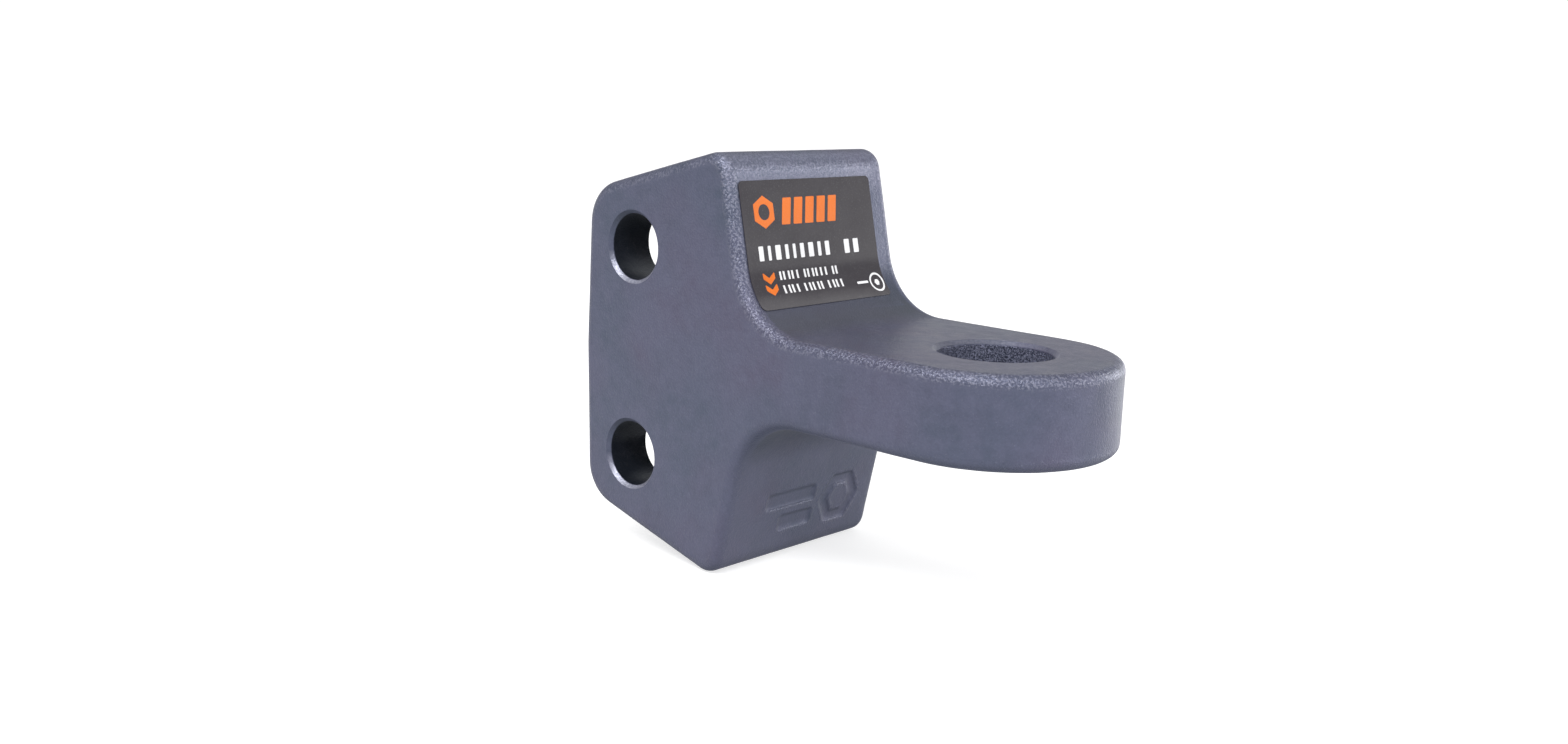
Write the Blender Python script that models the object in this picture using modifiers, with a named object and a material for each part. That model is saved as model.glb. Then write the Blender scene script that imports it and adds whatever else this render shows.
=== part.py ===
"""Ball platform head of an adjustable drop hitch, with its product label.

One steel casting. The back is an open channel that slides over the square
vertical bar of a hitch shank and is held there by two cross pins. The front
is a round-nosed arm with the bore for a tow ball's shank. The casting is the
same above and below its mid-plane, so it can be fitted either way up.

Frame: +X points from the shank bar to the nose, +Z up, Y across.
Origin: midway between the two pin axes, in the middle of the channel.
"""

import math

import bmesh
import bpy
from mathutils import Matrix, Vector

# Driving dimensions, metres
HALF_W = 0.0345            # half width of block and arm; also the nose radius
ARM_T = 0.0254             # arm thickness, 1 in
BALL_X = 0.1078            # ball bore axis, from the pin axes
BALL_D = 0.0318            # bore for a 1-1/4 in ball shank
BALL_CHAMFER = 0.0012

PIN_SPACING = 0.0635       # 2-1/2 in between the pin axes
PIN_D = 0.0199             # hole for a 3/4 in hitch pin
PIN_CHAMFER = 0.0011

BACK_X = -0.0220           # back edge of the two ears, at the mid-plane
BACK_DRAFT = math.radians(1.8)
BACK_HALF_H = 0.0478       # half height at the back edge
FRONT_X = 0.0371           # front face at the top edge
FRONT_HALF_H = 0.0632      # half height at the top edge
FACE_LEAN = math.radians(12.4)
BACK_CORNER_R = 0.0132
TOP_CORNER_R = 0.0067
ROOT_R = 0.0218            # hollow where the front faces run into the arm
EDGE_R = 0.0030

CHANNEL_W = 0.0381         # takes a 1-1/2 in bar
CHANNEL_FLOOR_X = 0.0200

MARK_DEPTH = 0.0006        # sunk motif on the lower front face
MARK_UP = 0.0178           # its centre, measured up the face from the lower edge
MARK_RING_Y = 0.0165       # centre of its six-sided ring

LABEL_Y = (-0.0309, 0.0262)
LABEL_S = (0.0095, 0.0473)  # top and bottom, measured down the front face
LABEL_R = 0.0016
LABEL_T = 0.0004
GAP = 0.0003


# Scene set-up

for obj in list(bpy.data.objects):
    bpy.data.objects.remove(obj, do_unlink=True)

PARTS = bpy.data.collections.new("ball_platform_head")
CUTTERS = bpy.data.collections.new("cutters")
bpy.context.scene.collection.children.link(PARTS)
bpy.context.scene.collection.children.link(CUTTERS)


def material(name, color, roughness, metallic):
    mat = bpy.data.materials.new(name)
    mat.use_nodes = True
    bsdf = mat.node_tree.nodes["Principled BSDF"]
    bsdf.inputs["Base Color"].default_value = (*color, 1.0)
    bsdf.inputs["Roughness"].default_value = roughness
    bsdf.inputs["Metallic"].default_value = metallic
    return mat


# Outlines

def rounded(corners, steps=10):
    """Points of an open outline, with an arc at every corner (x, z, radius) that has one."""
    out = []
    for i, (x, z, r) in enumerate(corners):
        here = Vector((x, z))
        if r == 0.0 or i in (0, len(corners) - 1):
            out.append(here)
            continue
        to_a = (Vector(corners[i - 1][:2]) - here).normalized()
        to_b = (Vector(corners[i + 1][:2]) - here).normalized()
        half = to_a.angle(to_b) / 2
        centre = here + (to_a + to_b).normalized() * (r / math.sin(half))
        start = here + to_a * (r / math.tan(half)) - centre
        end = here + to_b * (r / math.tan(half)) - centre
        turn = start.angle_signed(end)
        for k in range(steps + 1):
            a = -turn * k / steps
            out.append(centre + Matrix.Rotation(a, 2) @ start)
    return out


def upper_front():
    """Corners of the front outline above the mid-plane, from the top edge to the ball axis."""
    root_x = FRONT_X + (FRONT_HALF_H - ARM_T / 2) * math.tan(FACE_LEAN)
    return [
        (FRONT_X, FRONT_HALF_H, 0.0),
        (root_x, ARM_T / 2, ROOT_R),
        (BALL_X, ARM_T / 2, 0.0),
    ]


def down_face(s, lift):
    """Point (x, z) that lies s down the front face and stands lift clear of it."""
    path = rounded(upper_front(), steps=24)
    for a, b in zip(path, path[1:]):
        step = b - a
        if s <= step.length:
            along = step.normalized()
            return a + along * s + Vector((-along.y, along.x)) * lift
        s -= step.length
    return path[-1]


# Mesh builders

def mesh_object(name, mesh, collection):
    obj = bpy.data.objects.new(name, mesh)
    collection.objects.link(obj)
    return obj


def slab(name, outlines, half_depth, collection, matrix=Matrix.Identity(4)):
    """Closed solid from flat outlines in the local XY plane, thickened both ways along local Z."""
    curve = bpy.data.curves.new(name, "CURVE")
    curve.dimensions = "2D"
    curve.fill_mode = "BOTH"
    curve.extrude = half_depth
    for points in outlines:
        spline = curve.splines.new("POLY")
        spline.points.add(len(points) - 1)
        for target, (x, y) in zip(spline.points, points):
            target.co = (x, y, 0.0, 1.0)
        spline.use_cyclic_u = True
    flat = bpy.data.objects.new(name + "_outline", curve)
    collection.objects.link(flat)
    flat.matrix_world = matrix
    bpy.context.view_layer.update()
    mesh = bpy.data.meshes.new_from_object(flat.evaluated_get(bpy.context.evaluated_depsgraph_get()))
    bm = bmesh.new()
    bm.from_mesh(mesh)
    bmesh.ops.remove_doubles(bm, verts=bm.verts, dist=1e-6)
    bmesh.ops.recalc_face_normals(bm, faces=bm.faces)
    bm.to_mesh(mesh)
    bm.free()
    solid = mesh_object(name, mesh, collection)
    solid.matrix_world = matrix
    bpy.data.objects.remove(flat, do_unlink=True)
    return solid


def turned_cutter(name, profile, steps, location=(0, 0, 0), rotation=(0, 0, 0)):
    """Cutter turned about its local Z from (radius, height) points, top to bottom."""
    mesh = bpy.data.meshes.new(name)
    mesh.from_pydata([(r, 0.0, z) for r, z in profile], [(i, i + 1) for i in range(len(profile) - 1)], [])
    obj = mesh_object(name, mesh, CUTTERS)
    obj.location = location
    obj.rotation_euler = rotation
    screw = obj.modifiers.new("turn", "SCREW")
    screw.steps = steps
    screw.render_steps = steps
    screw.use_merge_vertices = True
    screw.merge_threshold = 1e-5
    return obj


def through_bore(radius, half_length, chamfer):
    """Profile of a bore cutter whose ends flare at 45 degrees from the chamfer's inner edge."""
    over = 0.004
    return [
        (0.0, half_length + over),
        (radius + chamfer + over, half_length + over),
        (radius, half_length - chamfer),
        (radius, -half_length + chamfer),
        (radius + chamfer + over, -half_length - over),
        (0.0, -half_length - over),
    ]


def boolean(target, cutter, operation="DIFFERENCE"):
    cutter.hide_render = True
    cutter.display_type = "WIRE"
    mod = target.modifiers.new(cutter.name, "BOOLEAN")
    mod.operation = operation
    mod.solver = "EXACT"
    mod.object = cutter


def rectangle(x0, x1, y0, y1, r=0.0, steps=6):
    if r == 0.0:
        return [(x0, y0), (x1, y0), (x1, y1), (x0, y1)]
    centres = [(x1 - r, y0 + r, -90), (x1 - r, y1 - r, 0), (x0 + r, y1 - r, 90), (x0 + r, y0 + r, 180)]
    return [
        (cx + r * math.cos(math.radians(a0 + 90 * k / steps)), cy + r * math.sin(math.radians(a0 + 90 * k / steps)))
        for cx, cy, a0 in centres
        for k in range(steps + 1)
    ]


# Casting

STAND_UP = Matrix.Rotation(math.radians(90), 4, "X")  # local Y becomes world Z

upper = rounded([
    (BACK_X, 0.0, 0.0),
    (BACK_X + BACK_HALF_H * math.tan(BACK_DRAFT), BACK_HALF_H, BACK_CORNER_R),
    (FRONT_X, FRONT_HALF_H, TOP_CORNER_R),
    *upper_front()[1:],
    (BALL_X + HALF_W + 0.001, ARM_T / 2, 0.0),
])
lower = [Vector((p.x, -p.y)) for p in reversed(upper[1:])]
head = slab("hitch_head", [[tuple(p) for p in upper + lower]], HALF_W + 0.002, PARTS, STAND_UP)

nose = [
    (BALL_X + HALF_W * math.cos(math.radians(a)), HALF_W * math.sin(math.radians(a)))
    for a in (-90 + 180 * k / 44 for k in range(45))
]
plan = slab("plan_outline", [[(BACK_X - 0.005, -HALF_W), *nose, (BACK_X - 0.005, HALF_W)]], 0.08, CUTTERS)
boolean(head, plan, "INTERSECT")

channel = slab(
    "channel_cutter",
    [rectangle(BACK_X - 0.01, CHANNEL_FLOOR_X, -CHANNEL_W / 2, CHANNEL_W / 2)],
    0.08,
    CUTTERS,
)
boolean(head, channel)

bevel = head.modifiers.new("soft_cast_edges", "BEVEL")
bevel.width = EDGE_R
bevel.segments = 3
bevel.limit_method = "ANGLE"
bevel.angle_limit = math.radians(35)
bevel.use_clamp_overlap = False

ball_bore = turned_cutter(
    "ball_bore_cutter", through_bore(BALL_D / 2, ARM_T / 2, BALL_CHAMFER), 64, location=(BALL_X, 0, 0)
)
boolean(head, ball_bore)

for name, z in (("upper", PIN_SPACING / 2), ("lower", -PIN_SPACING / 2)):
    bore = turned_cutter(
        f"{name}_pin_bore_cutter",
        through_bore(PIN_D / 2, HALF_W, PIN_CHAMFER),
        48,
        location=(0, 0, z),
        rotation=(math.radians(90), 0, 0),
    )
    boolean(head, bore)

# Sunk motif on the lower front face: a six-sided ring and two plain bars
hexagon, hexagon_hole = [
    [(MARK_RING_Y + r * math.cos(math.radians(60 * k)), r * math.sin(math.radians(60 * k))) for k in range(6)]
    for r in (0.0092, 0.0052)
]
bars = [
    rectangle(-0.0170, 0.0045, 0.0014, 0.0064, 0.0010, 4),
    rectangle(-0.0100, 0.0045, -0.0064, -0.0014, 0.0010, 4),
]
face_x = FRONT_X + MARK_UP * math.sin(FACE_LEAN)
face_z = -FRONT_HALF_H + MARK_UP * math.cos(FACE_LEAN)
across = Vector((0, 1, 0))
outward = Vector((math.cos(FACE_LEAN), 0, -math.sin(FACE_LEAN)))
up_face = outward.cross(across)
on_face = Matrix((
    (across.x, up_face.x, outward.x, face_x),
    (across.y, up_face.y, outward.y, 0.0),
    (across.z, up_face.z, outward.z, face_z),
    (0, 0, 0, 1),
))
mark = slab("mark_cutter", [hexagon, hexagon_hole, *bars], MARK_DEPTH, CUTTERS, on_face)
boolean(head, mark)

head.data.materials.append(material("head_paint", (0.135, 0.138, 0.200), 0.55, 0.35))
head.data.shade_smooth()
head.data.set_sharp_from_angle(angle=math.radians(35))


# Label: a thin film that follows the upper front face into the hollow above the arm

steps = 22
span = [LABEL_S[0] - 0.002 + (LABEL_S[1] - LABEL_S[0] + 0.004) * k / steps for k in range(steps + 1)]
film = [down_face(s, GAP) for s in span] + [down_face(s, GAP + LABEL_T) for s in reversed(span)]
label_w = LABEL_Y[1] - LABEL_Y[0]
place = Matrix.Translation((0, sum(LABEL_Y) / 2, 0)) @ STAND_UP
label = slab("label", [[tuple(p) for p in film]], label_w / 2 + 0.001, PARTS, place)

z_top, z_bottom = down_face(LABEL_S[0], 0).y, down_face(LABEL_S[1], 0).y
facing_front = Matrix.Translation((0.05, 0, 0)) @ Matrix.Rotation(math.radians(90), 4, "Z") @ STAND_UP
trim = slab("label_trim", [rectangle(*LABEL_Y, z_bottom, z_top, LABEL_R)], 0.05, CUTTERS, facing_front)
boolean(label, trim, "INTERSECT")
label.data.materials.append(material("label_film", (0.060, 0.057, 0.060), 0.35, 0.0))
label.data.shade_smooth()
label.data.set_sharp_from_angle(angle=math.radians(35))
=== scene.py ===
"""Looks of the ball platform head: soft cast surface, sand-textured powder coat, printed label.

Metres, in the CAD's frame: +X towards the nose, +Z up, origin midway between the two pin axes.
"""

import math

import bmesh
import bpy
import numpy as np
from mathutils import Euler, Matrix, Vector, noise


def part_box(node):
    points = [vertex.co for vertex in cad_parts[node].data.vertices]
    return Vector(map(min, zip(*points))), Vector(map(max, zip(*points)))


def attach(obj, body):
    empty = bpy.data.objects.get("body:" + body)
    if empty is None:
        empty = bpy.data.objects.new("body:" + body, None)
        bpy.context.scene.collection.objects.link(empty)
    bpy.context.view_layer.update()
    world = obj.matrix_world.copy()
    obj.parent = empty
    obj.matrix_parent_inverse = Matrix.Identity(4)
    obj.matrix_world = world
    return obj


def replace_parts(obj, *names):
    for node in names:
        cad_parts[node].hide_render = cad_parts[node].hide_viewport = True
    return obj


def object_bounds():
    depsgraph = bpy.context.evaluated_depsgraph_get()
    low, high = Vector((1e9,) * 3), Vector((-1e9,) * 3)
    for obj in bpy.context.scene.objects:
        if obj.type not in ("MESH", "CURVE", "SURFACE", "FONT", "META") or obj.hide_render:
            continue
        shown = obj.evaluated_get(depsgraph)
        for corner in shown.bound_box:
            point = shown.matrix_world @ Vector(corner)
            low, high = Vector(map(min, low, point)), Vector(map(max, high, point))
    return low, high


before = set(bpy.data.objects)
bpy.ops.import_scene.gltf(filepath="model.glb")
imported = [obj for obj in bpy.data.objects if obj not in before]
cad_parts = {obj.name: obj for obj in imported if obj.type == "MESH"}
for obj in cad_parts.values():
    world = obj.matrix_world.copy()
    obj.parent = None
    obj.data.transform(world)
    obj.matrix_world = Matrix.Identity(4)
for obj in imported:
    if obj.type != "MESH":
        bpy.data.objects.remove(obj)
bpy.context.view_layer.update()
head_lo, head_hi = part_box("hitch_head")
label_lo, label_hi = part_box("label")
MM = 0.001

# Sizes: the boxes give the outside ones, the rest repeat the CAD's
HALF_W = head_hi.y
ARM_T = 0.0254
BALL_X = head_hi.x - HALF_W
BALL_D = 0.0318
BALL_CHAMFER = 0.0012
PIN_SPACING = 0.0635
PIN_D = 0.0199
PIN_CHAMFER = 0.0011
BACK_X = head_lo.x
BACK_DRAFT = math.radians(1.8)
BACK_HALF_H = 0.0478
FRONT_X = 0.0371
FRONT_HALF_H = 0.0632
FACE_LEAN = math.radians(12.4)
BACK_CORNER_R = 0.0132
TOP_CORNER_R = 0.0067
ROOT_R = 0.0218
EDGE_R = 0.0030
CHANNEL_W = 0.0381
CHANNEL_FLOOR_X = 0.0200

# Sunk motif: six-sided ring and two bars (y and height on the face, from and to)
MARK_DEPTH = 0.0006
MARK_UP = 0.0178               # the motif's middle above the lower front edge, along the face
MARK_RING_Y = 0.0165
MARK_RING_R = (0.0092, 0.0052)
MARK_BARS = ((-0.0170, 0.0045, 0.0014, 0.0064), (-0.0100, 0.0045, -0.0064, -0.0014))
MARK_BAR_R = 0.0010

# Label: y across, s down the front face, heights above the bare face
LABEL_Y = (label_lo.y, label_hi.y)
LABEL_S = (0.0095, 0.0473)
LABEL_R = 0.0016
FILM_LIFT = 0.00006
FILM_TOP = 0.00024
INK_TOP = 0.00027
INK_SUNK = 0.000005            # how far the inks reach into the film

# Skin of the casting
VOXEL = 0.0005
SMOOTH_ROUNDS = 7
KEPT_FACES = 0.28
BALL_GRIT = 0.00012
PIN_GRIT = 0.00003
WAVES = ((0.05 * MM, 85), (0.012 * MM, 290))  # height, scale of the noise
BARE_MARGIN = (0.002, 0.003)   # even border around the label: across, below
# The low edges are relaxed in a zone that fades at its ends: places, weights
LOW_ZONE_X = ((0.0280, 0.0320, 0.0560, 0.0700), (0, 1, 1, 0))
LOW_ZONE_Y = ((0.0255, 0.0285), (0, 1))
LOW_ZONE_Z = ((-0.0600, -0.0530, -0.0200, -0.0120), (0, 0.5, 0.5, 0))
DENTS = (  # shallow marks of the casting: x, y, z, radius, depth
    (0.1384, -0.0160, -0.0030, 0.0026, 0.00010),
    (0.1391, -0.0145, -0.0014, 0.0028, 0.00008),
    (0.1399, -0.0127, 0.0006, 0.0026, 0.00006),
    (0.1300, -0.0263, 0.0010, 0.0042, 0.00012),
    (0.1120, -0.0345, -0.0020, 0.0050, 0.00016),
    (0.0360, -0.0345, -0.0420, 0.0012, 0.00012),
    (0.0060, -0.0345, 0.0060, 0.0050, 0.00007),
    (0.0780, 0.0345, 0.0030, 0.0030, 0.00012),
    (-0.0080, 0.0345, -0.0080, 0.0040, 0.00009),
)

# How far cutters and blanks reach past the casting
PAST = 0.005
BLANK_EXTRA_W = 0.002
BLANK_EXTRA_NOSE = 0.001
CUT_HALF_H = 0.08

# Linear colours of the powder coat
PAINT = {
    "cool": (0.049, 0.061, 0.096, 1),
    "warm": (0.066, 0.062, 0.104, 1),
    "cloud": (0.070, 0.076, 0.122, 1),
    "mottle": (0.088, 0.092, 0.146, 1),
    "sand": (0.036, 0.040, 0.068, 1),
    "fleck": (0.30, 0.31, 0.38, 1),
    # painted shade on the downward-facing surfaces
    "shaded_underside": (0.029, 0.036, 0.062, 1),
    # painted shade in the hollows
    "shaded_hollow": (0.030, 0.036, 0.042, 1),
    # painted shade and painted highlight on the upper edges
    "edge_shade": (0.036, 0.040, 0.070, 1),
    "edge_highlight": (0.27, 0.275, 0.35, 1),
    # painted highlight on the face above the label
    "lit_top_strip": (0.22, 0.225, 0.30, 1),
    # painted highlight on the pin rims
    "lit_pin_rim": (0.28, 0.285, 0.35, 1),
    # painted highlight on the ball bore's rim
    "lit_ball_rim": (0.24, 0.245, 0.31, 1),
    # painted shade in the channel
    "channel": (0.020, 0.022, 0.030, 1),
    # painted shade on the pin bores' walls
    "shaded_pin_wall": (0.007, 0.010, 0.015, 1),
    "ball_wall_dark": (0.024, 0.028, 0.050, 1),
    "ball_wall_bright": (0.17, 0.18, 0.26, 1),
}
LIT_TOP_STRIP_Z = (0.0490, 0.0555)  # the face above the label gets a painted highlight that fades in between these heights

# Stage
FLOOR_RADIUS = 6.0
FLOOR_GAP = 0.0002
SKY_LEVELS = ((0.0, 1.0), (0.155, 1.0), (0.275, 0.30), (0.56, 0.28), (0.64, 1.0))
SKY_STRENGTH = 1.05
BOX_DISTANCE = 1.1
CAMERA_PLACE = (0.329067, -0.328454, 0.083857)
CAMERA_TURN = (78.588, -1.954, 42.599)  # degrees
CAMERA_LENS = 33.972           # millimetres, on a 36 mm sensor


# Outlines

def rounded(corners, steps=24):
    """Points of an open outline, with an arc at every corner (x, z, radius) that has one."""
    out = []
    for i, (x, z, r) in enumerate(corners):
        here = Vector((x, z))
        if r == 0.0 or i in (0, len(corners) - 1):
            out.append(here)
            continue
        to_a = (Vector(corners[i - 1][:2]) - here).normalized()
        to_b = (Vector(corners[i + 1][:2]) - here).normalized()
        half = to_a.angle(to_b) / 2
        centre = here + (to_a + to_b).normalized() * (r / math.sin(half))
        start = here + to_a * (r / math.tan(half)) - centre
        end = here + to_b * (r / math.tan(half)) - centre
        turn = start.angle_signed(end)
        out += [centre + Matrix.Rotation(-turn * k / steps, 2) @ start for k in range(steps + 1)]
    return out


def polygon(points, r=0.0, steps=5):
    """Closed outline through the points, every corner rounded by r."""
    if r == 0.0:
        return [tuple(p) for p in points]
    ring = [points[-1], *points, points[0]]
    out = []
    for a, b, c in zip(ring, ring[1:], ring[2:]):
        out += rounded([(*a, 0.0), (*b, r), (*c, 0.0)], steps)[1:-1]
    return [tuple(p) for p in out]


def rectangle(x0, x1, y0, y1, r=0.0, slant=0.0):
    return polygon([(x0, y1), (x1, y1), (x1 + slant, y0), (x0 + slant, y0)], r)


def regular(x, y, radius, sides, turn=0.0):
    angles = (turn + 2 * math.pi * k / sides for k in range(sides))
    return [(x + radius * math.cos(a), y + radius * math.sin(a)) for a in angles]


def upper_front():
    """Corners of the front outline above the mid-plane, from the top edge to the ball axis."""
    root_x = FRONT_X + (FRONT_HALF_H - ARM_T / 2) * math.tan(FACE_LEAN)
    return [(FRONT_X, FRONT_HALF_H, 0.0), (root_x, ARM_T / 2, ROOT_R), (BALL_X, ARM_T / 2, 0.0)]


FACE_PATH = rounded(upper_front(), steps=64)


def down_face(s, lift):
    """Point (x, z) that lies s down the front face and stands lift clear of it."""
    for a, b in zip(FACE_PATH, FACE_PATH[1:]):
        step = b - a
        if s <= step.length:
            along = step.normalized()
            return a + along * s + Vector((-along.y, along.x)) * lift
        s -= step.length
    return FACE_PATH[-1]


# Mesh builders

STAND_UP = Matrix.Rotation(math.radians(90), 4, "X")  # local Y becomes world Z


def mesh_object(name, mesh):
    obj = bpy.data.objects.new(name, mesh)
    bpy.context.scene.collection.objects.link(obj)
    return obj


def slab(name, outlines, half_depth, matrix=Matrix.Identity(4)):
    """Closed solid from flat outlines in the local XY plane, thickened both ways along local Z."""
    curve = bpy.data.curves.new(name, "CURVE")
    curve.dimensions = "2D"
    curve.fill_mode = "BOTH"
    curve.extrude = half_depth
    for points in outlines:
        spline = curve.splines.new("POLY")
        spline.points.add(len(points) - 1)
        for target, (x, y) in zip(spline.points, points):
            target.co = (x, y, 0.0, 1.0)
        spline.use_cyclic_u = True
    flat = bpy.data.objects.new(name + "_outline", curve)
    bpy.context.scene.collection.objects.link(flat)
    bpy.context.view_layer.update()
    graph = bpy.context.evaluated_depsgraph_get()
    mesh = bpy.data.meshes.new_from_object(flat.evaluated_get(graph))
    bm = bmesh.new()
    bm.from_mesh(mesh)
    bmesh.ops.remove_doubles(bm, verts=bm.verts, dist=1e-6)
    bmesh.ops.recalc_face_normals(bm, faces=bm.faces)
    bm.to_mesh(mesh)
    bm.free()
    mesh.transform(matrix)
    bpy.data.objects.remove(flat, do_unlink=True)
    bpy.data.curves.remove(curve)
    return mesh_object(name, mesh)


def bore_cutter(name, radius, half_length, chamfer, steps, rows, matrix, grit):
    """Turned cutter for a through bore whose ends flare at 45 degrees; grit roughens its wall."""
    over = 0.004
    corner_r = 0.00025
    top = rounded([
        (radius + chamfer + over, half_length + over, 0.0),
        (radius, half_length - chamfer, corner_r),
        (radius, 0.0, 0.0),
    ], 4)
    wall = [Vector((radius, top[-2].y * (1 - 2 * k / rows))) for k in range(1, rows)]
    profile = top[:-1] + wall + [Vector((p.x, -p.y)) for p in reversed(top[:-1])]
    bm = bmesh.new()
    rings = []
    for p in profile:
        ring = []
        for k in range(steps):
            way = Vector((math.cos(2 * math.pi * k / steps), math.sin(2 * math.pi * k / steps), 0))
            point = way * p.x + Vector((0, 0, p.y))
            if abs(p.y) < half_length - chamfer:
                fine = noise.noise(point * 1500)
                coarse = noise.noise(point * 600)
                point += way * grit * fine + way * 0.6 * grit * coarse
            ring.append(bm.verts.new(point))
        rings.append(ring)
    for upper, lower in zip(rings, rings[1:]):
        for k in range(steps):
            bm.faces.new((upper[k - 1], upper[k], lower[k], lower[k - 1]))
    bm.faces.new(rings[0])
    bm.faces.new(reversed(rings[-1]))
    bmesh.ops.recalc_face_normals(bm, faces=bm.faces)
    mesh = bpy.data.meshes.new(name)
    bm.to_mesh(mesh)
    bm.free()
    mesh.transform(matrix)
    return mesh_object(name, mesh)


def boolean(target, cutter, operation="DIFFERENCE", solver="EXACT"):
    mod = target.modifiers.new(cutter.name, "BOOLEAN")
    mod.operation = operation
    mod.solver = solver
    mod.object = cutter


def applied(obj, *helpers):
    """Makes the modifiers' result the object's own mesh and removes the helper objects."""
    bpy.context.view_layer.update()
    graph = bpy.context.evaluated_depsgraph_get()
    mesh = bpy.data.meshes.new_from_object(obj.evaluated_get(graph))
    obj.modifiers.clear()
    obj.data = mesh
    for helper in helpers:
        bpy.data.objects.remove(helper, do_unlink=True)


# Vertices as arrays

def point_rows(mesh):
    points = np.empty(len(mesh.vertices) * 3)
    mesh.vertices.foreach_get("co", points)
    return points.reshape(-1, 3)


def normal_rows(mesh):
    normals = np.empty(len(mesh.vertices) * 3)
    mesh.vertex_normals.foreach_get("vector", normals)
    return normals.reshape(-1, 3)


def move_points(mesh, points):
    mesh.vertices.foreach_set("co", points.ravel())
    mesh.update()


def edge_ends(mesh):
    """The two vertex numbers of every edge, as two arrays."""
    ends = np.empty(len(mesh.edges) * 2, dtype=np.int32)
    mesh.edges.foreach_get("vertices", ends)
    return ends.reshape(-1, 2).T


def neighbour_mean(mesh):
    """A function that turns one value per vertex into the mean of each vertex's neighbours."""
    a, b = edge_ends(mesh)
    count = len(mesh.vertices)
    near = np.bincount(a, minlength=count) + np.bincount(b, minlength=count)

    def mean(values):
        return (np.bincount(a, values[b], count) + np.bincount(b, values[a], count)) / near

    return mean


# Casting

def build_casting():
    upper = rounded([
        (BACK_X, 0.0, 0.0),
        (BACK_X + BACK_HALF_H * math.tan(BACK_DRAFT), BACK_HALF_H, BACK_CORNER_R),
        (FRONT_X, FRONT_HALF_H, TOP_CORNER_R),
        *upper_front()[1:],
        (BALL_X + HALF_W + BLANK_EXTRA_NOSE, ARM_T / 2, 0.0),
    ])
    lower = [Vector((p.x, -p.y)) for p in reversed(upper[1:])]
    side_view = [tuple(p) for p in upper + lower]
    head = slab("head_casting", [side_view], HALF_W + BLANK_EXTRA_W, STAND_UP)

    nose = [
        (BALL_X + HALF_W * math.cos(a), HALF_W * math.sin(a))
        for a in (math.pi * (k / 96 - 0.5) for k in range(97))
    ]
    plan_view = [(BACK_X - PAST, -HALF_W), *nose, (BACK_X - PAST, HALF_W)]
    plan = slab("plan_cutter", [plan_view], CUT_HALF_H)
    boolean(head, plan, "INTERSECT")
    slot = rectangle(BACK_X - 2 * PAST, CHANNEL_FLOOR_X, -CHANNEL_W / 2, CHANNEL_W / 2)
    channel = slab("channel_cutter", [slot], CUT_HALF_H)
    boolean(head, channel)

    bevel = head.modifiers.new("soft_cast_edges", "BEVEL")
    bevel.width = EDGE_R
    bevel.segments = 8
    bevel.limit_method = "ANGLE"
    bevel.angle_limit = math.radians(35)
    bevel.use_clamp_overlap = False

    mark = mark_cutter()
    boolean(head, mark)
    applied(head, plan, channel, mark)
    return head


def mark_cutter():
    """The motif, standing on the front face below the arm."""
    lean_up = Vector((math.cos(FACE_LEAN), 0, -math.sin(FACE_LEAN)))
    across = Vector((0, 1, 0))
    on_face = Matrix((across, lean_up.cross(across), lean_up)).transposed().to_4x4()
    on_face.translation = (
        FRONT_X + MARK_UP * math.sin(FACE_LEAN), 0.0, -FRONT_HALF_H + MARK_UP * math.cos(FACE_LEAN)
    )
    ring = [regular(MARK_RING_Y, 0, r, 6) for r in MARK_RING_R]
    bars = [rectangle(*bar, MARK_BAR_R) for bar in MARK_BARS]
    return slab("mark_cutter", ring + bars, MARK_DEPTH, on_face)


def soften(head):
    """Even skin with the slightly rounded edges that casting and paint leave."""
    remesh = head.modifiers.new("skin", "REMESH")
    remesh.mode = "VOXEL"
    remesh.voxel_size = VOXEL
    remesh.use_smooth_shade = True
    smooth = head.modifiers.new("soft", "SMOOTH")
    smooth.factor = 0.5
    smooth.iterations = SMOOTH_ROUNDS
    applied(head)


def relax_low_edges(mesh, rounds=36):
    """The two upright edges below the arm and the arch above them are cast rounder than the rest."""
    points = point_rows(mesh)
    mean = neighbour_mean(mesh)
    x, y, z = points.T
    weight = np.interp(z, *LOW_ZONE_Z)
    weight *= np.interp(x, *LOW_ZONE_X)
    weight *= np.interp(np.abs(y), *LOW_ZONE_Y)
    for _ in range(rounds):
        for line in (x, y, z):
            line += weight * (mean(line) - line)
    move_points(mesh, points)


def cast_unevenness(mesh):
    """Low waves and dents of a sand casting, none under the label."""
    points = point_rows(mesh)
    normals = normal_rows(mesh)
    waves = np.array([
        sum(height * noise.noise(Vector(p) * scale) for height, scale in WAVES)
        for p in points
    ])
    for x, y, z, radius, depth in DENTS:
        away = np.linalg.norm(points - (x, y, z), axis=1) / radius
        waves -= depth * np.clip(1 - away**2, 0, None) ** 2
    beside, below = BARE_MARGIN
    front = normals[:, 0] > 0.2
    high = points[:, 2] > label_lo.z - below
    inside = (points[:, 1] > LABEL_Y[0] - beside) & (points[:, 1] < LABEL_Y[1] + beside)
    waves[front & high & inside] = 0.0
    points += normals * waves[:, None]
    move_points(mesh, points)


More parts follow.
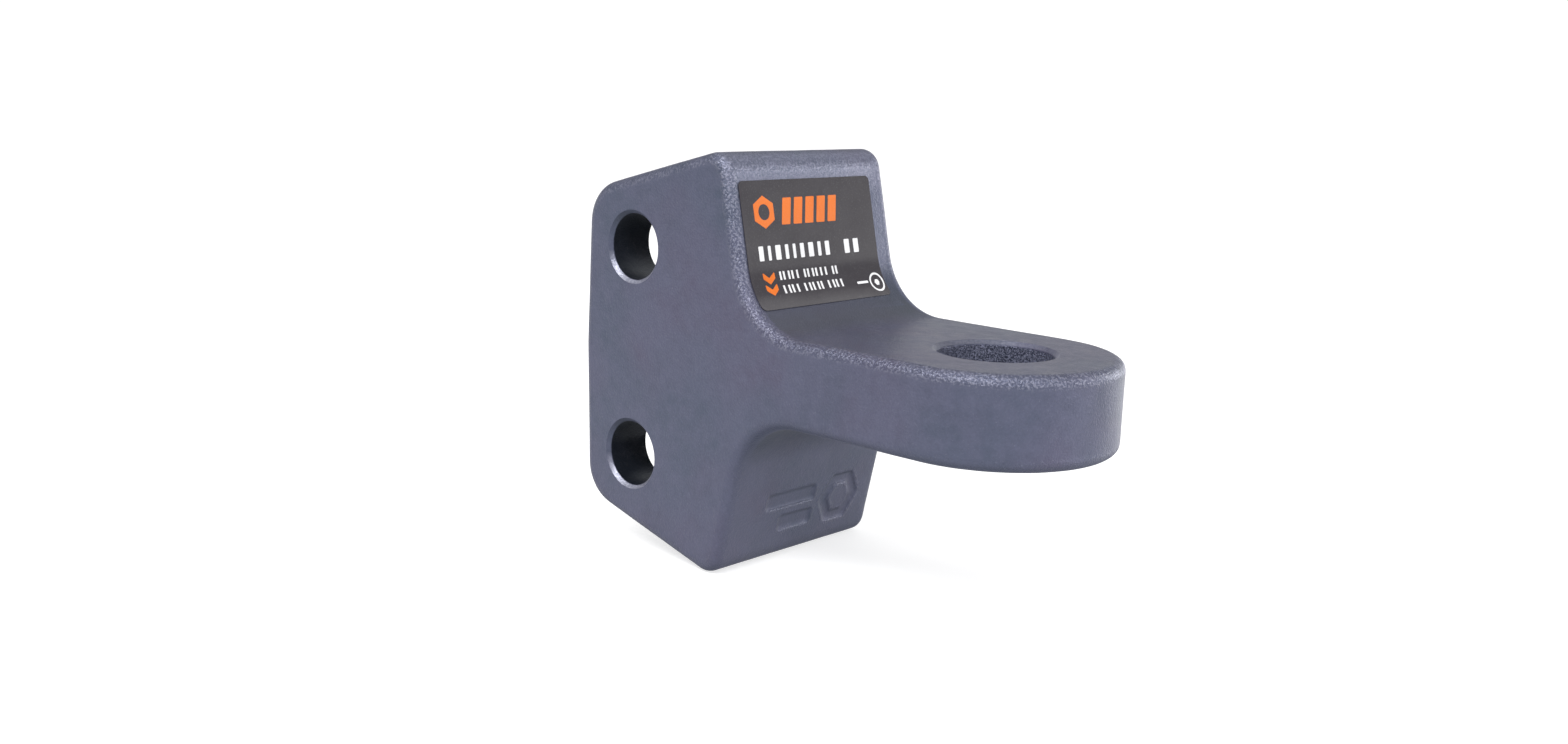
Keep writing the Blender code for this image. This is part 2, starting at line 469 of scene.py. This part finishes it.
def mark_edges(mesh):
    """Stores for the paint how convex the skin is: 1 on a cast edge, below 0 in a concave place."""
    points = point_rows(mesh)
    normals = normal_rows(mesh)
    mean = neighbour_mean(mesh)
    count = len(points)
    a, b = edge_ends(mesh)
    step = points[b] - points[a]
    length = np.maximum(np.einsum("ij,ij->i", step, step), 1e-12)
    bend_a = -np.einsum("ij,ij->i", step, normals[a]) / length
    bend_b = np.einsum("ij,ij->i", step, normals[b]) / length
    total = np.bincount(a, length, count) + np.bincount(b, length, count)
    bend = (np.bincount(a, bend_a * length, count) + np.bincount(b, bend_b * length, count)) / total
    for _ in range(3):
        bend = (bend + mean(bend)) / 2
    convex = np.clip(bend * EDGE_R * 4, -1.0, 1.0)  # an edge of radius r bends by 1 / 4r on average
    edge = mesh.attributes.new("cast_edge", "FLOAT", "POINT")
    edge.data.foreach_set("value", convex.astype(np.float32))


def thin_out(head):
    """Drops the vertices that flat areas don't need."""
    fewer = head.modifiers.new("fewer", "DECIMATE")
    fewer.ratio = KEPT_FACES
    applied(head)


def drill(head):
    """Cuts the bores last, so that they keep their crisp machined edges."""
    ball = bore_cutter(
        "ball_cutter", BALL_D / 2, ARM_T / 2, BALL_CHAMFER,
        steps=240, rows=56, matrix=Matrix.Translation((BALL_X, 0, 0)), grit=BALL_GRIT,
    )
    pins = [
        bore_cutter(
            f"pin_cutter_{k}", PIN_D / 2, HALF_W, PIN_CHAMFER,
            steps=120, rows=16, matrix=Matrix.Translation((0, 0, z)) @ STAND_UP, grit=PIN_GRIT,
        )
        for k, z in enumerate((PIN_SPACING / 2, -PIN_SPACING / 2))
    ]
    for cutter in (ball, *pins):
        boolean(head, cutter, solver="MANIFOLD")
    applied(head, ball, *pins)
    tidy_slivers(head.data)
    head.data.shade_smooth()
    head.data.set_sharp_from_angle(angle=math.radians(38))


def tidy_slivers(mesh, smallest=0.00002):
    """Collapses the tiny edges that the cuts leave along the bores' rims."""
    bm = bmesh.new()
    bm.from_mesh(mesh)
    bmesh.ops.triangulate(bm, faces=bm.faces)
    bmesh.ops.dissolve_degenerate(bm, dist=smallest, edges=bm.edges)
    bmesh.ops.triangulate(bm, faces=[f for f in bm.faces if len(f.verts) > 3])
    bm.to_mesh(mesh)
    bm.free()


# Label

def on_label(name, outlines, low, high, rows=40):
    """Film or ink of the outlines (y, s), bent over the front face between two heights."""
    obj = slab(name, outlines, (high - low) / 2)
    bm = bmesh.new()
    bm.from_mesh(obj.data)
    for k in range(1, rows):
        s = LABEL_S[0] + (LABEL_S[1] - LABEL_S[0]) * k / rows
        whole = bm.verts[:] + bm.edges[:] + bm.faces[:]
        bmesh.ops.bisect_plane(bm, geom=whole, dist=1e-7, plane_co=(0, s, 0), plane_no=(0, 1, 0))
    bmesh.ops.triangulate(bm, faces=[f for f in bm.faces if len(f.verts) > 4])
    for v in bm.verts:
        x, z = down_face(v.co.y, (low + high) / 2 + v.co.z)
        v.co = (x, v.co.x, z)
    bmesh.ops.reverse_faces(bm, faces=bm.faces)  # the bend mirrors the flat solid
    bm.to_mesh(obj.data)
    bm.free()
    obj.data.shade_smooth()
    obj.data.set_sharp_from_angle(angle=math.radians(40))
    return obj


def orange_shapes():
    """Six-sided ring, five slanted bars and two chevrons: (y, s) in millimetres."""
    ring = [regular(-22.0, 18.6, 4.7, 6, math.radians(30)), regular(-22.0, 18.6, 2.3, 24)]
    bars = [
        rectangle(y, y + 3.6, 14.8, 22.5, 0.3, slant=1.6) for y in (-15.2, -10.2, -5.2, -0.2, 4.8)
    ]
    left, middle, right = -25.8, -23.4, -21.0
    chevrons = [
        polygon([
            (left, s), (middle, s + 1.7), (right, s),
            (right, s + 1.9), (middle, s + 3.6), (left, s + 1.9),
        ], 0.2)
        for s in (35.7, 39.2)
    ]
    return ring + bars + chevrons


def white_shapes():
    """Row of blocks, two rows of ticks and a dial with a pointer: (y, s) in millimetres."""
    blocks = []
    y = -26.1
    for width in (1.9, 1.2, 2.2, 1.4, 1.2, 1.7, 2.2, 1.4, 1.9):
        blocks.append(rectangle(y, y + width, 28.2, 32.4, 0.3))
        y += width + 1.9
    blocks += [rectangle(y, y + 2.3, 28.2, 32.4, 0.3) for y in (11.0, 15.2)]
    tick_rows = {
        35.8: (-19.0, -17.5, -15.4, -13.9, -11.8, -8.6, -7.1, -5.0, -3.5, -1.4, 0.7, 3.9, 5.4),
        40.0: (-18.8, -16.7, -15.2, -13.1, -9.9, -7.8, -6.3, -4.2, -2.7, 0.5, 2.6, 4.1, 6.2),
    }
    ticks = [rectangle(y, y + 0.75, s, s + 2.5) for s, row in tick_rows.items() for y in row]
    pointer = rectangle(13.4, 18.4, 41.6, 42.4, 0.2)
    dial = [regular(22.4, 42.5, r, 48) for r in (3.2, 2.55)]
    hub = regular(22.4, 42.5, 1.1, 6)
    return [*blocks, *ticks, pointer, *dial, hub]


def ink(name, shapes):
    outlines = [[(y * MM, s * MM) for y, s in shape] for shape in shapes]
    return on_label(name, outlines, FILM_TOP - INK_SUNK, INK_TOP)


# Materials

class Shader:
    """Small helper that adds and links nodes of one material."""

    def __init__(self, name):
        self.mat = bpy.data.materials.new(name)
        self.mat.use_nodes = True
        self.nodes = self.mat.node_tree.nodes
        self.bsdf = self.nodes["Principled BSDF"]
        self.where = self.nodes.new("ShaderNodeTexCoord").outputs["Object"]

    def fill(self, socket, value):
        """Links a node's output to the socket, or sets a plain value on it."""
        if hasattr(value, "is_output"):
            self.mat.node_tree.links.new(value, socket)
        else:
            socket.default_value = value

    def set(self, **values):
        for key, value in values.items():
            self.fill(self.bsdf.inputs[key.replace("_", " ")], value)
        return self.mat

    def noise(self, scale, detail, rough=0.5):
        node = self.nodes.new("ShaderNodeTexNoise")
        values = {"Vector": self.where, "Scale": scale, "Detail": detail, "Roughness": rough}
        for key, value in values.items():
            self.fill(node.inputs[key], value)
        return node.outputs["Fac"]

    def attribute(self, name):
        node = self.nodes.new("ShaderNodeAttribute")
        node.attribute_name = name
        return node.outputs["Fac"]

    def xyz(self, vector):
        node = self.nodes.new("ShaderNodeSeparateXYZ")
        self.fill(node.inputs[0], vector)
        return node.outputs

    def math(self, operation, a, b=0.0):
        node = self.nodes.new("ShaderNodeMath")
        node.operation = operation
        self.fill(node.inputs[0], a)
        self.fill(node.inputs[1], b)
        return node.outputs[0]

    def product(self, first, *others):
        for other in others:
            first = self.math("MULTIPLY", first, other)
        return first

    def hypot(self, a, b):
        return self.math("SQRT", self.math("ADD", self.product(a, a), self.product(b, b)))

    def span(self, value, low, high, out_low=0.0, out_high=1.0):
        """Maps low..high to out_low..out_high and holds the ends beyond."""
        node = self.nodes.new("ShaderNodeMapRange")
        self.fill(node.inputs["Value"], value)
        ends = {"From Min": low, "From Max": high, "To Min": out_low, "To Max": out_high}
        for key, number in ends.items():
            node.inputs[key].default_value = number
        return node.outputs["Result"]

    def step(self, value, limit, zero, one):
        """Mask that is 0 at zero millimetres past the limit and 1 at one millimetres past it."""
        return self.span(value, limit + zero * MM, limit + one * MM)

    def mix(self, factor, a, b):
        node = self.nodes.new("ShaderNodeMix")
        node.data_type = "RGBA"
        self.fill(node.inputs["Factor"], factor)
        self.fill(node.inputs["A"], a)
        self.fill(node.inputs["B"], b)
        return node.outputs["Result"]

    def bump(self, height, distance, strength, normal=None):
        node = self.nodes.new("ShaderNodeBump")
        node.inputs["Distance"].default_value = distance
        node.inputs["Strength"].default_value = strength
        self.fill(node.inputs["Height"], height)
        if normal:
            self.fill(node.inputs["Normal"], normal)
        return node.outputs["Normal"]


def powder_coat():
    """Blue-grey metallic powder coat: sandy, with painted highlight and shade on the upper edges,
    painted highlights on the bore rims and above the label, and painted shade in the pin bores,
    channel, hollows and undersides.
    """
    sh = Shader("powder_coat")
    mottle = sh.noise(280, 3, 0.6)
    grain = sh.noise(1500, 2, 0.6)
    fleck = sh.span(sh.noise(3000, 1), 0.64, 0.80)
    speck = sh.span(sh.noise(2500, 2, 0.7), 0.45, 0.61)

    # Where the point is
    x, y, z = sh.xyz(sh.where)
    across = sh.math("ABSOLUTE", y)
    height = sh.math("ABSOLUTE", z)
    ball_r = sh.hypot(sh.math("SUBTRACT", x, BALL_X), y)
    pin_r = sh.hypot(x, sh.math("SUBTRACT", height, PIN_SPACING / 2))
    ball_rim_r = BALL_D / 2 + BALL_CHAMFER
    pin_rim_r = PIN_D / 2 + PIN_CHAMFER

    # Which way the surface faces, and how convex it is, and the painted shade and painted highlights
    # placed by these
    facing_x, _, facing_z = sh.xyz(sh.nodes.new("ShaderNodeNewGeometry").outputs["Normal"])
    convex = sh.attribute("cast_edge")
    edge = sh.span(convex, 0.12, 0.8)
    # painted shade on the surfaces that face down
    shaded_underside = sh.span(facing_z, -0.05, -0.65)
    # painted shade in the hollows: concave places that face forward and partly up or down
    shaded_hollow = sh.product(
        sh.span(convex, 0.12, 0.02),
        sh.span(facing_x, 0.03, 0.35),
        sh.span(sh.math("ABSOLUTE", facing_z), 0.30, 0.85),
    )
    # upper and front edges that get a painted highlight band with painted shade between its sparkles
    lit_upper_edge = sh.product(
        edge,
        sh.span(facing_z, -0.05, 0.06),
        sh.span(facing_x, -0.20, -0.02, 0.25, 1.0),
        sh.step(ball_r, ball_rim_r, 0.4, 1.4),
        sh.step(pin_r, pin_rim_r, 0.4, 1.4),
    )
    # painted highlight on the face above the label
    lit_top_strip = sh.product(
        sh.span(z, *LIT_TOP_STRIP_Z),
        sh.span(facing_x, 0.25, 0.60),
        sh.span(grain, 0.38, 0.60, 0.35, 1.0),
    )

    # Bores and channel: painted highlights on the rims, painted shade on the pin walls and in the
    # channel
    # painted highlight on the upward-facing part of the pin rims' chamfers
    lit_pin_rim = sh.product(
        sh.step(pin_r, pin_rim_r, 0.3, -0.1),
        sh.step(across, HALF_W - PIN_CHAMFER, 0.0, 0.2),
        sh.span(facing_z, 0.1, 0.5),
        sh.span(grain, 0.30, 0.60, 0.40, 0.90),
    )
    # painted highlight on the ball bore's chamfer
    lit_ball_rim = sh.product(
        sh.step(ball_r, ball_rim_r, 0.3, -0.1),
        sh.step(height, ARM_T / 2 - BALL_CHAMFER, 0.0, 0.3),
        sh.span(grain, 0.30, 0.60, 0.05, 0.28),
    )
    # painted shade in the channel
    channel = sh.product(
        sh.step(x, CHANNEL_FLOOR_X, 0.6, 0.2),
        sh.step(across, CHANNEL_W / 2, 0.6, 0.2),
    )
    # painted shade on the pin bores' walls
    shaded_pin_wall = sh.product(
        sh.step(pin_r, PIN_D / 2, 0.6, 0.3),
        sh.step(across, HALF_W - PIN_CHAMFER, 0.1, -0.4),
    )
    ball_wall = sh.product(
        sh.step(ball_r, BALL_D / 2, 0.6, 0.3),
        sh.step(height, ARM_T / 2 - BALL_CHAMFER, -0.1, -0.4),
    )

    tone = sh.mix(sh.span(sh.noise(28, 2), 0.40, 0.60), PAINT["cool"], PAINT["warm"])
    for mask, colour in (
        (sh.span(sh.noise(75, 3), 0.36, 0.64, 0.0, 0.60), "cloud"),
        (sh.span(mottle, 0.35, 0.65, 0.0, 0.45), "mottle"),
        (sh.span(grain, 0.25, 0.75, 0.0, 0.40), "sand"),
        (sh.product(fleck, 0.15), "fleck"),
        # painted shade on the undersides
        (sh.product(shaded_underside, 0.50), "shaded_underside"),
        # painted shade in the hollows
        (sh.product(shaded_hollow, 0.55), "shaded_hollow"),
        # painted shade and painted highlight on the upper edges
        (sh.product(lit_upper_edge, sh.span(grain, 0.52, 0.40), 0.20), "edge_shade"),
        (sh.product(lit_upper_edge, sh.span(grain, 0.48, 0.60), 0.38), "edge_highlight"),
        # painted highlight above the label
        (sh.product(lit_top_strip, 0.42), "lit_top_strip"),
        # painted highlight on the pin rims
        (lit_pin_rim, "lit_pin_rim"),
        (lit_ball_rim, "lit_ball_rim"),
        # painted shade in the channel
        (sh.product(channel, 0.55), "channel"),
        # painted shade in the pin bores
        (sh.product(shaded_pin_wall, 0.9), "shaded_pin_wall"),
    ):
        tone = sh.mix(mask, tone, PAINT[colour])
    gritty = sh.mix(speck, PAINT["ball_wall_dark"], PAINT["ball_wall_bright"])
    tone = sh.mix(ball_wall, tone, gritty)

    rough = sh.math("ADD", sh.span(mottle, 0.3, 0.7, 0.32, 0.42), sh.product(fleck, -0.10))
    rough = sh.math("ADD", rough, sh.product(shaded_underside, 0.35))

    sand = sh.product(grain, sh.math("ADD", sh.product(edge, 0.9), 0.45))
    skin = sh.bump(sh.noise(120, 3), 0.00045, 0.35)
    skin = sh.bump(mottle, 0.00030, 0.28, skin)
    skin = sh.bump(sand, 0.00030, 1.0, skin)
    skin = sh.bump(sh.product(speck, ball_wall), 0.0002, 0.8, skin)
    return sh.set(Base_Color=tone, Roughness=rough, Metallic=0.45, Normal=skin)


def printed_vinyl(name, colour, shade, rough):
    """Faint print grain, dust and a glossy surface that is never quite flat."""
    sh = Shader(name)
    fine = sh.noise(2600, 2)
    tone = sh.mix(sh.span(sh.noise(70, 2), 0.3, 0.7), colour, shade)
    tone = sh.mix(sh.span(fine, 0.55, 0.8, 0.0, 0.05), tone, (0.5, 0.5, 0.5, 1))
    skin = sh.bump(sh.noise(150, 2), 0.0003, 0.30)
    skin = sh.bump(fine, 0.00001, 0.4, skin)
    gloss = sh.span(fine, 0.3, 0.7, rough, rough + 0.06)
    return sh.set(Base_Color=tone, Roughness=gloss, Normal=skin)


# Build

def finished(piece, finish):
    piece.data.materials.clear()
    piece.data.materials.append(finish)
    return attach(piece, "root")


head = build_casting()
soften(head)
relax_low_edges(head.data)
cast_unevenness(head.data)
mark_edges(head.data)
thin_out(head)
drill(head)
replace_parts(finished(head, powder_coat()), "hitch_head")

label_outline = rectangle(*LABEL_Y, *LABEL_S, LABEL_R)
film = on_label("label_film", [label_outline], FILM_LIFT, FILM_TOP)
orange = ink("label_print_orange", orange_shapes())
white = ink("label_print_white", white_shapes())
for piece, name, colour, shade, rough in (
    (film, "label_charcoal", (0.031, 0.028, 0.033, 1), (0.039, 0.036, 0.041, 1), 0.07),
    (orange, "label_orange", (0.55, 0.125, 0.016, 1), (0.59, 0.14, 0.019, 1), 0.12),
    (white, "label_white", (0.60, 0.60, 0.62, 1), (0.66, 0.66, 0.67, 1), 0.14),
):
    finished(piece, printed_vinyl(name, colour, shade, rough))
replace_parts(film, "label")


# Stage, light and camera

lo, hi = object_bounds()
centre = (lo + hi) / 2


def pale_floor():
    bm = bmesh.new()
    bmesh.ops.create_circle(bm, cap_ends=True, segments=64, radius=FLOOR_RADIUS)
    mesh = bpy.data.meshes.new("floor")
    bm.to_mesh(mesh)
    bm.free()
    floor = mesh_object("floor", mesh)
    floor.location.z = lo.z - FLOOR_GAP
    floor.data.materials.append(Shader("pale_floor").set(
        Base_Color=(0.42, 0.42, 0.422, 1), Roughness=0.7,
        Emission_Color=(1, 1, 1, 1), Emission_Strength=0.70,
    ))


def studio_sky():
    """White near the horizon and overhead, with a grey band between."""
    world = bpy.data.worlds.new("studio")
    world.use_nodes = True
    nodes = world.node_tree.nodes
    links = world.node_tree.links
    height = nodes.new("ShaderNodeSeparateXYZ")
    ramp = nodes.new("ShaderNodeValToRGB")
    links.new(nodes.new("ShaderNodeTexCoord").outputs["Generated"], height.inputs[0])
    links.new(height.outputs["Z"], ramp.inputs["Fac"])
    links.new(ramp.outputs["Color"], nodes["Background"].inputs["Color"])
    stops = ramp.color_ramp.elements
    stops[0].position = SKY_LEVELS[0][0]
    stops[1].position = SKY_LEVELS[-1][0]
    for place, _ in SKY_LEVELS[1:-1]:
        stops.new(place)
    for stop, (_, level) in zip(stops, SKY_LEVELS):
        stop.color = (level, level, level, 1)
    nodes["Background"].inputs["Strength"].default_value = SKY_STRENGTH
    bpy.context.scene.world = world


def softbox(name, direction, size, power):
    light = bpy.data.lights.new(name, "AREA")
    light.shape = "RECTANGLE"
    light.size, light.size_y = size
    light.energy = power
    obj = bpy.data.objects.new(name, light)
    bpy.context.scene.collection.objects.link(obj)
    way = Vector(direction).normalized()
    obj.location = centre + way * BOX_DISTANCE
    obj.rotation_mode = "QUATERNION"
    obj.rotation_quaternion = way.to_track_quat("Z", "Y")
    obj.visible_camera = False


def photo_camera():
    data = bpy.data.cameras.new("camera")
    data.sensor_width = 36.0
    data.lens = CAMERA_LENS
    data.clip_start = 0.01
    camera = bpy.data.objects.new("camera", data)
    bpy.context.scene.collection.objects.link(camera)
    turn = Euler([math.radians(angle) for angle in CAMERA_TURN])
    camera.matrix_world = Matrix.LocRotScale(Vector(CAMERA_PLACE), turn, None)
    bpy.context.scene.camera = camera


pale_floor()
studio_sky()
softbox("right_box", (0.90, 0.36, 0.30), (0.60, 0.70), 5.0)
softbox("far_right_box", (0.26, 0.95, 0.06), (0.55, 0.50), 5.0)
softbox("front_box", (0.18, -0.63, 0.75), (1.4, 0.26), 15.5)
photo_camera()
bpy.context.scene.view_settings.view_transform = "Standard"
bpy.context.scene.view_settings.look = "None"
